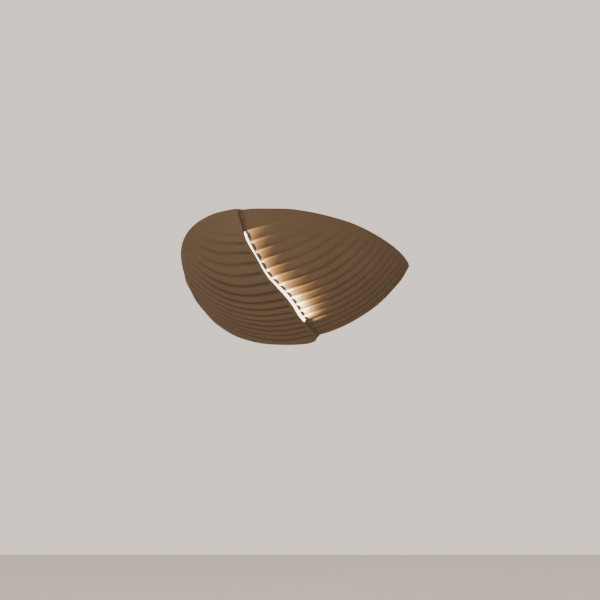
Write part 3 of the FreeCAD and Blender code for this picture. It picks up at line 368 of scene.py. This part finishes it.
# the slit is cut straight through, along the way to the wall
for I_, O_, row_, e_ in ((IL, OL, rowL, -1), (IR, OR, rowR, 0)):
    shift = (O_[e_] - I_[e_]) * by_slit[:, None]
    shift[:, 1] = 0
    I_ += shift[None] * np.exp(-(row_ / 20.0) ** 2)[..., None]

# inner rim rounded the same way
for I_, N_ in ((IL, NL), (IR, NR)):
    r_ = np.zeros(I_.shape[:2])
    r_[:, 1:] = np.cumsum(np.linalg.norm(np.diff(I_, axis=1), axis=2), axis=1)
    near_ = np.maximum(0, 2.6 - r_)
    I_ += N_ * (2.6 - np.sqrt(np.maximum(0, 2.6 ** 2 - near_ ** 2)))[..., None]
    I_[..., 1] = np.minimum(I_[..., 1], -GAP)

# ------------------------------------------------------------ the light from the slit, painted on as glow
tR = phR - np.floor(phR)
# how far down the slit the light on each point comes from: it follows the ribs
edge_ph = phR[0]
source = np.interp(phR, edge_ph, along_slit)
inside_ = np.interp(phR, edge_ph, smooth(-5, 2, from_top) * smooth(-3, 10, from_low))
crest = np.exp(-((tR - 0.40) / 0.26) ** 2)
edge_line = np.exp(-((tR - 0.14) / 0.10) ** 2)
reach = np.exp(-((source - 0.66) / 0.26) ** 2)          # the light spreads widest low in the middle
top_one = np.exp(-(source / 0.10) ** 2)
middle = np.exp(-((source - 0.50) / 0.20) ** 2)
near = np.exp(-np.maximum(0, rowR - 6.0) / (14 + 9 * reach + 6 * top_one))
far = np.exp(-np.maximum(0, rowR - 2.0) / (15 + 8 * reach + 6 * top_one))
power = 0.52 + 0.34 * source + 0.12 * reach
whole_rib = np.exp(-np.maximum(0, rowR - 5.0) / 7.0)
glowR = power * (0.66 * near * (0.36 + 0.46 * crest + (0.30 + 0.40 * middle) * whole_rib) + 0.66 * far * edge_line + 0.25 * near * edge_line)
white = np.exp(-((source - 0.86) / 0.19) ** 2) * np.exp(-(np.maximum(0, rowR - 9) / 14.0) ** 2)
glowR = (glowR + 0.50 * white * (0.76 + 0.24 * np.maximum(crest, edge_line))) * inside_
# a faint streak of painted slit light reaches the rib below the slit's end
after = np.exp(-((phR - math.ceil(edge_ph[j1] - 0.15) - 0.24) / 0.15) ** 2)
after = after * smooth(5, 13, rowR) * np.exp(-(np.maximum(0, rowR - 13) / 19.0) ** 2)
glowR = glowR + 0.33 * after
glowR = np.minimum(1.0, glowR) * (1 - 0.98 * endface)
glowL = np.zeros(PL.shape[:2])
# painted shade in the grooves and in the step of the closed seam, less under the slit
shade = 1 - 0.65 * smooth(0, 5, -from_low)
painted_shade_R = np.maximum(np.minimum(0.9, sinkR / 3.4), 0.62 * np.exp(-(rowR / 4.2) ** 2) * ((1 - by_slit) * shade)[None])

# ---------------------------------------------------------------- the casting
nL, nR = PL.shape[0], PR.shape[0]
K = 6                                    # steps across the seam
verts, glow, painted_shade, phase_at = [], [], [], []


def add(points, g, h):
    start = len(verts)
    verts.extend(points.tolist())
    glow.extend(np.broadcast_to(g, len(points)).tolist())
    painted_shade.extend(np.broadcast_to(h, len(points)).tolist())
    return start


def layer(PLx, PRx, outer):
    """Vertex numbers of one skin: left lobe, seam columns, right lobe."""
    idL = np.empty((nL, NF), int)
    idR = np.empty((nR, NF), int)
    for i in range(nL):
        # painted shade in the left lobe's grooves and in the pinhole
        idL[i] = add(PLx[i], glowL[i] if outer else 0, np.minimum(1, np.minimum(0.9, sinkL[i] / 3.1) + pin[i]) if outer else 0) + np.arange(NF)
    for i in range(nR):
        # painted shade in the right lobe's grooves, in the seam step and on the D faces
        idR[i] = add(PRx[i], glowR[i] if outer else 0, np.maximum(painted_shade_R[i], endface[i]) if outer else 0) + np.arange(NF)
    a, b = PLx[-1], PRx[0]
    lefts = np.empty((K // 2 + 1, NF), int)      # left seam edge to the middle
    rights = np.empty((K // 2 + 1, NF), int)     # middle to the right seam edge
    for j in range(NF):
        inside = j0 <= j <= j1
        d = min(from_top[j], from_low[j]) if inside else 0.0
        pinch = 0.0
        if inside:
            pinch = 1 - math.sqrt(max(0.0, 1 - (max(0.0, END - d) / END) ** 2))
        straight = inside and pinch < 0.02

        def at(r):
            p = a[j] * (1 - r) + b[j] * r
            if outer:
                drop = float(smooth(0.0, 0.30, r))
                p[1] = a[j, 1] * (1 - drop) + b[j, 1] * drop
            return p

        lefts[0, j], rights[-1, j] = idL[-1, j], idR[0, j]
        for k in range(1, K // 2 + 1):
            if straight:
                lefts[k, j] = idL[-1, j]
                rights[K // 2 - k, j] = idR[0, j]
            else:
                share = (pinch if inside else 1.0)
                r = k / K * share
                # painted shade on the seam columns, in the step between the lobes
                lefts[k, j] = add(np.array([at(r)]), 0, (0.50, 0.70, 0.75)[k - 1] * shade[j] if outer else 0)
                if k == K // 2 and not inside:
                    rights[0, j] = lefts[k, j]
                else:
                    rights[K // 2 - k, j] = add(np.array([at(1 - r)]), 0, 0.66 * shade[j] if outer else 0)
    return idL, lefts, rights, idR


outer = layer(OL, OR, True)
inner = layer(IL, IR, False)
faces = []


def quad(q):
    c = [q[0]]
    for v in q[1:]:
        if v != c[-1]:
            c.append(v)
    if c[0] == c[-1] and len(c) > 1:
        c.pop()
    if len(c) >= 3 and len(set(c)) == len(c):
        faces.append(c)


def skin(ids, flip):
    for i in range(ids.shape[0] - 1):
        p, q = ids[i], ids[i + 1]
        for j in range(NF - 1):
            f_ = (p[j], p[j + 1], q[j + 1], q[j])
            quad(f_[::-1] if flip else f_)


for which, flip in ((outer, False), (inner, True)):
    idL, lefts, rights, idR = (w.tolist() if False else w for w in which)
    skin(idL, flip)
    skin(lefts, flip)
    skin(rights, flip)
    skin(idR, flip)


def band(a, b, flip=False):
    for j in range(len(a) - 1):
        f_ = (a[j], b[j], b[j + 1], a[j + 1])
        quad(f_[::-1] if flip else f_)


def whole(which, row):
    idL, lefts, rights, idR = which
    c = list(idL[:, row]) + list(lefts[1:, row]) + list(rights[1:, row]) + list(idR[1:, row])
    return c


band(whole(outer, 0), whole(inner, 0), True)           # rim
band(whole(outer, NF - 1), whole(inner, NF - 1))       # back edge
band(outer[0][0], inner[0][0])                         # left tip
band(outer[3][-1], inner[3][-1], True)                 # right tip
# walls of the slit
rows_ = list(range(j0 - 1, j1 + 2))
band([outer[1][-1, j] for j in rows_], [inner[1][-1, j] for j in rows_], True)
band([outer[2][0, j] for j in rows_], [inner[2][0, j] for j in rows_])

V = np.array(verts)
# stay inside the casting's own box
lo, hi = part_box("shell_casting")
lo, hi = np.array(lo) / MM, np.array(hi) / MM
vlo, vhi = V.min(0), V.max(0)
print("casting box", vlo.round(2), vhi.round(2), "frame box", lo.round(2), hi.round(2))
for k in (0, 1, 2):
    a_, b_ = max(vlo[k], lo[k] + 0.02), min(vhi[k], hi[k] - (0.0 if k == 1 else 0.02))
    if k == 1:
        b_ = vhi[k]
    V[:, k] = a_ + (V[:, k] - vlo[k]) * (b_ - a_) / (vhi[k] - vlo[k])

mesh = bpy.data.meshes.new("plaster_shell")
mesh.from_pydata((V * MM).tolist(), [], [[int(v) for v in f] for f in faces])
mesh.update()


def point_data(name, values):
    at = mesh.attributes.new(name, "FLOAT", "POINT")
    at.data.foreach_set("value", np.asarray(values, np.float32))


point_data("glow", glow)
point_data("painted_shade", painted_shade)
shell = bpy.data.objects.new("plaster_shell", mesh)
bpy.context.scene.collection.objects.link(shell)
import bmesh
bm = bmesh.new()
bm.from_mesh(mesh)
bmesh.ops.recalc_face_normals(bm, faces=bm.faces)
loose = [v for v in bm.verts if not v.link_faces]
bmesh.ops.delete(bm, geom=loose, context="VERTS")
if bm.calc_volume(signed=True) < 0:
    bmesh.ops.reverse_faces(bm, faces=bm.faces)
print("open edges", sum(1 for e in bm.edges if len(e.link_faces) != 2), "verts", len(bm.verts), "volume", bm.calc_volume(signed=True))
bm.to_mesh(mesh)
bm.free()


def solid(name, points, quads):
    m = bpy.data.meshes.new(name)
    m.from_pydata([[c * MM for c in p] for p in points], [], quads)
    m.update()
    o = bpy.data.objects.new(name, m)
    bpy.context.scene.collection.objects.link(o)
    return o


def block(name, a, b):
    p = [(x, y, z) for x in (a[0], b[0]) for y in (a[1], b[1]) for z in (a[2], b[2])]
    q = [(0, 1, 3, 2), (4, 6, 7, 5), (0, 4, 5, 1), (2, 3, 7, 6), (0, 2, 6, 4), (1, 5, 7, 3)]
    return solid(name, p, q)


def rod(name, x, z, r, y0, y1, n=40):
    p = [(x + r * math.cos(2 * math.pi * k / n), y, z + r * math.sin(2 * math.pi * k / n))
         for y in (y0, y1) for k in range(n)]
    q = [(k, (k + 1) % n, n + (k + 1) % n, n + k) for k in range(n)]
    q += [tuple(range(n))[::-1], tuple(range(n, 2 * n))]
    return solid(name, p, q)


def carve(target, tool):
    m = target.modifiers.new("cut", "BOOLEAN")
    m.operation = "DIFFERENCE"
    m.object = tool
    m.solver = "EXACT"
    bpy.context.view_layer.objects.active = target
    bpy.context.view_layer.update()
    dg = bpy.context.evaluated_depsgraph_get()
    made = bpy.data.meshes.new_from_object(target.evaluated_get(dg))
    target.modifiers.clear()
    print("carved", tool.name, len(target.data.vertices), len(made.vertices))
    if len(made.vertices) < 0.9 * len(target.data.vertices):
        bpy.data.meshes.remove(made)
        bpy.data.objects.remove(tool)
        return
    old = target.data
    target.data = made
    bpy.data.meshes.remove(old)
    bpy.data.objects.remove(tool)


# recesses for the hanger bar and pockets for its inserts
carve(shell, block("t0", (-159, -5.5, -58), (-111, 3, -42)))
carve(shell, block("t1", (93, -5.5, -58), (127, 3, -42)))
carve(shell, rod("t2", -151, -50, 3.2, -13.0, -5.0))
carve(shell, rod("t3", 119.5, -50, 3.2, -13.0, -5.0))
mesh = shell.data
mesh.shade_smooth()
mesh.set_sharp_from_angle(angle=math.radians(42))
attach(shell, "shell")
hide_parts("shell_casting")


# ------------------------------------------------------------------ materials
def nodes_of(name):
    m = bpy.data.materials.new(name)
    m.use_nodes = True
    t = m.node_tree
    return m, t, t.nodes, t.links, t.nodes["Principled BSDF"]


def ramp(N, stops):
    r = N.new("ShaderNodeValToRGB")
    e = r.color_ramp.elements
    while len(e) < len(stops):
        e.new(0.5)
    for el, (p, c) in zip(e, stops):
        el.position = p
        el.color = (*c, 1.0)
    return r


def noise(N, L, scale, detail=6, rough=0.55, coords=None):
    c = coords or N.new("ShaderNodeTexCoord")
    n = N.new("ShaderNodeTexNoise")
    n.inputs["Scale"].default_value = scale
    n.inputs["Detail"].default_value = detail
    n.inputs["Roughness"].default_value = rough
    L.new(c.outputs["Object"], n.inputs["Vector"])
    return n


def finish_of(name, low, high, rough=(0.4, 0.6), metal=0.0, scale=180.0, fine=1400.0,
              bump=0.1, depth=0.0002, coat=0.0, emit=None, power=0.0, sheen=0.0):
    """A worn surface: two tones, uneven gloss and a fine grain."""
    m, t, N, L, B = nodes_of(name)
    B.inputs["Metallic"].default_value = metal
    B.inputs["Coat Weight"].default_value = coat
    B.inputs["Sheen Weight"].default_value = sheen
    big = noise(N, L, scale)
    mid = tuple((a + b) / 2 for a, b in zip(low, high))
    r = ramp(N, [(0.30, low), (0.5, mid), (0.72, high)])
    L.new(big.outputs["Fac"], r.inputs["Fac"])
    L.new(r.outputs["Color"], B.inputs["Base Color"])
    gloss = ramp(N, [(0.3, (rough[0],) * 3), (0.7, (rough[1],) * 3)])
    small = noise(N, L, fine, 4)
    L.new(small.outputs["Fac"], gloss.inputs["Fac"])
    L.new(gloss.outputs["Color"], B.inputs["Roughness"])
    bp = N.new("ShaderNodeBump")
    bp.inputs["Strength"].default_value = bump
    bp.inputs["Distance"].default_value = depth
    L.new(small.outputs["Fac"], bp.inputs["Height"])
    L.new(bp.outputs["Normal"], B.inputs["Normal"])
    if emit:
        B.inputs["Emission Color"].default_value = (*emit, 1)
        B.inputs["Emission Strength"].default_value = power
    return m


def plaster():
    m, t, N, L, B = nodes_of("cast_plaster")
    B.inputs["Roughness"].default_value = 0.82
    B.inputs["Specular IOR Level"].default_value = 0.28
    # base tone: the cream plaster painted dark tan as it looks in shade, with tone that differs at random
    clouds = noise(N, L, 14.0, 7)
    tone = ramp(N, [(0.28, (0.092, 0.063, 0.0365)), (0.5, (0.100, 0.068, 0.0393)), (0.74, (0.108, 0.073, 0.0425))])
    L.new(clouds.outputs["Fac"], tone.inputs["Fac"])
    # this attribute darkens the base colour with painted shade: grooves, seam step, pinhole and D faces
    shade_attr = N.new("ShaderNodeAttribute")
    shade_attr.attribute_name = "painted_shade"
    shade = ramp(N, [(0.0, (1, 1, 1)), (0.45, (0.92, 0.91, 0.90)), (0.9, (0.60, 0.57, 0.54)), (1.0, (0.80, 0.78, 0.75))])
    L.new(shade_attr.outputs["Fac"], shade.inputs["Fac"])
    mul = N.new("ShaderNodeMixRGB")
    mul.blend_type = "MULTIPLY"
    mul.inputs["Fac"].default_value = 1.0
    L.new(tone.outputs["Color"], mul.inputs["Color1"])
    L.new(shade.outputs["Color"], mul.inputs["Color2"])
    speck = noise(N, L, 700.0, 3)
    pits = ramp(N, [(0.0, (0.80, 0.78, 0.75)), (0.30, (0.93, 0.92, 0.91)), (0.42, (1, 1, 1))])
    L.new(speck.outputs["Fac"], pits.inputs["Fac"])
    mul2 = N.new("ShaderNodeMixRGB")
    mul2.blend_type = "MULTIPLY"
    mul2.inputs["Fac"].default_value = 1.0
    L.new(mul.outputs["Color"], mul2.inputs["Color1"])
    L.new(pits.outputs["Color"], mul2.inputs["Color2"])
    L.new(mul2.outputs["Color"], B.inputs["Base Color"])
    # light spilling from the slit over the ribs beside it, painted on as emission
    g = N.new("ShaderNodeAttribute")
    g.attribute_name = "glow"
    warm = ramp(N, [(0.0, (0, 0, 0)), (0.06, (0.006, 0.0025, 0.0009)), (0.25, (0.106, 0.047, 0.0135)),
                    (0.55, (0.31, 0.158, 0.050)), (0.80, (0.68, 0.41, 0.150)), (1.0, (1.35, 0.99, 0.52))])
    L.new(g.outputs["Fac"], warm.inputs["Fac"])
    L.new(warm.outputs["Color"], B.inputs["Emission Color"])
    B.inputs["Emission Strength"].default_value = 5.0
    grain = noise(N, L, 1600.0, 5, 0.6)
    bp = N.new("ShaderNodeBump")
    bp.inputs["Strength"].default_value = 0.22
    bp.inputs["Distance"].default_value = 0.00025
    L.new(grain.outputs["Fac"], bp.inputs["Height"])
    sand = noise(N, L, 120.0, 4)
    bp2 = N.new("ShaderNodeBump")
    bp2.inputs["Strength"].default_value = 0.25
    bp2.inputs["Distance"].default_value = 0.0008
    L.new(sand.outputs["Fac"], bp2.inputs["Height"])
    L.new(bp.outputs["Normal"], bp2.inputs["Normal"])
    L.new(bp2.outputs["Normal"], B.inputs["Normal"])
    return m


def striped(name, a, b, pitch):
    m, t, N, L, B = nodes_of(name)
    c = N.new("ShaderNodeTexCoord")
    w = N.new("ShaderNodeTexWave")
    w.wave_type = "BANDS"
    w.bands_direction = "DIAGONAL"
    w.inputs["Scale"].default_value = pitch
    w.inputs["Distortion"].default_value = 0.4
    L.new(c.outputs["Object"], w.inputs["Vector"])
    r = ramp(N, [(0.47, a), (0.53, b)])
    L.new(w.outputs["Fac"], r.inputs["Fac"])
    L.new(r.outputs["Color"], B.inputs["Base Color"])
    B.inputs["Roughness"].default_value = 0.42
    n = noise(N, L, 900.0, 3, coords=c)
    bp = N.new("ShaderNodeBump")
    bp.inputs["Strength"].default_value = 0.12
    bp.inputs["Distance"].default_value = 0.0001
    L.new(n.outputs["Fac"], bp.inputs["Height"])
    L.new(bp.outputs["Normal"], B.inputs["Normal"])
    return m


LOOKS = {
    "zinc_steel": finish_of("zinc_steel", (0.52, 0.53, 0.54), (0.72, 0.73, 0.74), (0.28, 0.48), 1.0, 70, 900, 0.08),
    "screw_steel": finish_of("screw_steel", (0.55, 0.55, 0.54), (0.74, 0.73, 0.70), (0.22, 0.38), 1.0, 300, 1800, 0.08),
    "rivet_steel": finish_of("rivet_steel", (0.42, 0.42, 0.42), (0.60, 0.60, 0.59), (0.30, 0.46), 1.0, 300, 1800, 0.08),
    "brass": finish_of("brass", (0.60, 0.40, 0.15), (0.80, 0.58, 0.25), (0.22, 0.38), 1.0, 200, 1500, 0.06),
    "plate_paint": finish_of("plate_paint", (0.78, 0.77, 0.74), (0.84, 0.83, 0.80), (0.42, 0.58), 0.0, 50, 1600, 0.12),
    # the opal strip's emission is painted light: the bulb's light coming through the diffuser
    "opal_strip": finish_of("opal_strip", (0.86, 0.84, 0.78), (0.92, 0.90, 0.85), (0.35, 0.5), 0.0, 60, 900, 0.04, emit=(1.0, 0.90, 0.74), power=4.4),
    "felt": finish_of("felt", (0.16, 0.15, 0.14), (0.27, 0.25, 0.23), (0.9, 1.0), 0.0, 500, 2600, 0.8, 0.0006, sheen=0.4),
    "grommet_rubber": finish_of("grommet_rubber", (0.018, 0.018, 0.019), (0.045, 0.044, 0.043), (0.5, 0.7), 0.0, 200, 1500, 0.2),
    "holder_plastic": finish_of("holder_plastic", (0.70, 0.68, 0.63), (0.80, 0.78, 0.73), (0.30, 0.44), 0.0, 60, 1300, 0.05, coat=0.15),
    "porcelain": finish_of("porcelain", (0.78, 0.76, 0.72), (0.88, 0.86, 0.82), (0.14, 0.28), 0.0, 60, 900, 0.05, coat=0.4),
    "lamp_nickel": finish_of("lamp_nickel", (0.60, 0.58, 0.54), (0.78, 0.76, 0.71), (0.20, 0.34), 1.0, 240, 1700, 0.06),
    "lamp_insulation": finish_of("lamp_insulation", (0.02, 0.02, 0.024), (0.05, 0.048, 0.05), (0.12, 0.26), 0.0, 160, 1200, 0.05, coat=0.3),
    "lamp_potting": finish_of("lamp_potting", (0.60, 0.58, 0.55), (0.74, 0.72, 0.68), (0.5, 0.7), 0.0, 200, 1200, 0.2),
    "opal_glass": finish_of("opal_glass", (0.86, 0.84, 0.80), (0.92, 0.90, 0.86), (0.22, 0.34), 0.0, 40, 500, 0.02, emit=(1.0, 0.80, 0.56), power=5.0, coat=0.3),
    "stem_glass": finish_of("stem_glass", (0.70, 0.72, 0.72), (0.82, 0.84, 0.84), (0.05, 0.12), 0.0, 60, 500, 0.02, coat=0.5),
    "filament": finish_of("filament", (0.90, 0.62, 0.20), (1.0, 0.78, 0.34), (0.4, 0.6), 0.0, 500, 2000, 0.2, emit=(1.0, 0.72, 0.36), power=8.0),
    "block_plastic": finish_of("block_plastic", (0.76, 0.76, 0.73), (0.84, 0.84, 0.81), (0.34, 0.5), 0.0, 80, 1300, 0.08),
    "wire_brown": finish_of("wire_brown", (0.105, 0.045, 0.022), (0.16, 0.072, 0.036), (0.36, 0.5), 0.0, 120, 1200, 0.08),
    "wire_blue": finish_of("wire_blue", (0.022, 0.085, 0.33), (0.04, 0.13, 0.45), (0.36, 0.5), 0.0, 120, 1200, 0.08),
    "wire_earth": striped("wire_earth", (0.05, 0.30, 0.06), (0.80, 0.66, 0.05), 60.0),
    "tin": finish_of("tin", (0.58, 0.57, 0.55), (0.74, 0.73, 0.70), (0.26, 0.42), 1.0, 240, 1500, 0.08),
}
shell.data.materials.clear()
shell.data.materials.append(plaster())
slots = {s["node"]: s["material_slot"] for s in frame["record"]["subparts"]}
for name, o in frame["nodes"].items():
    look = LOOKS.get(slots.get(name))
    if look:
        o.data.materials.clear()
        o.data.materials.append(look)
        o.data.shade_smooth()
        o.data.set_sharp_from_angle(angle=math.radians(32))

# ------------------------------------------------------------------ the light
for n in ("lamp_glass", "lamp_stem", "lamp_filaments", "lamp_driver"):
    frame["nodes"][n].visible_shadow = False
bulb = bpy.data.lights.new("lamp_light", "POINT")
bulb.energy = 6.0
bulb.color = (1.0, 0.80, 0.58)
bulb.shadow_soft_size = 0.02
bulb_o = bpy.data.objects.new("lamp_light", bulb)
bulb_o.location = (0.052, -0.045, 0.0)
bpy.context.scene.collection.objects.link(bulb_o)
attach(bulb_o, "lamp_globe")


def area(name, at, to, size, energy, colour):
    a = bpy.data.lights.new(name, "AREA")
    a.shape = "RECTANGLE"
    a.size, a.size_y = size
    a.energy = energy
    a.color = colour
    o = bpy.data.objects.new(name, a)
    o.location = at
    o.rotation_euler = (Vector(to) - Vector(at)).to_track_quat("-Z", "Y").to_euler()
    bpy.context.scene.collection.objects.link(o)
    return o


area("key", (-0.7, -2.0, 2.2), (0, -0.05, 0), (1.6, 1.6), 9, (1.0, 0.93, 0.84))
area("fill", (-0.5, -2.2, -0.38), (0, -0.05, 0), (2.2, 0.4), 25, (1.0, 0.94, 0.88))
area("back", (0.3, 2.2, 1.4), (0, -0.05, 0), (2.0, 1.4), 5, (1.0, 0.95, 0.9))

world = bpy.data.worlds.new("studio")
world.use_nodes = True
bg = world.node_tree.nodes["Background"]
# a little less light from the upper right
wn, wl = world.node_tree.nodes, world.node_tree.links
way = wn.new("ShaderNodeTexCoord")
up = wn.new("ShaderNodeVectorMath")
up.operation = "DOT_PRODUCT"
up.inputs[1].default_value = (0.62, -0.30, 0.73)
wl.new(way.outputs["Generated"], up.inputs[0])
sky = ramp(wn, [(0.0, (0.91, 0.80, 0.70)), (1.0, (0.50, 0.43, 0.37))])
wl.new(up.outputs["Value"], sky.inputs["Fac"])
wl.new(sky.outputs["Color"], bg.inputs["Color"])
bg.inputs["Strength"].default_value = 1.3
bpy.context.scene.world = world

floor_m = bpy.data.meshes.new("floor")
s_ = 4.0
floor_m.from_pydata([(-s_, -s_, -0.62), (s_, -s_, -0.62), (s_, s_, -0.62), (-s_, s_, -0.62)], [], [(0, 1, 2, 3)])
floor = bpy.data.objects.new("floor", floor_m)
bpy.context.scene.collection.objects.link(floor)
floor_m.materials.append(finish_of("floor_paint", (0.74, 0.69, 0.64), (0.78, 0.73, 0.68), (0.7, 0.85), 0.0, 2.0, 60, 0.05, 0.001))
floor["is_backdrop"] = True

# ----------------------------------------------------------------- the camera
cam = bpy.data.cameras.new("camera")
cam.sensor_width = 36
dist = 12.0
cam.lens = 36 * (dist - 0.06) / 1.0044
cam_o = bpy.data.objects.new("camera", cam)
cam_o.location = (0.005, -dist, -0.0485)
cam_o.rotation_euler = (math.radians(90), 0, 0)
bpy.context.scene.collection.objects.link(cam_o)
bpy.context.scene.camera = cam_o

after = [list(v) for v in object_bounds()]
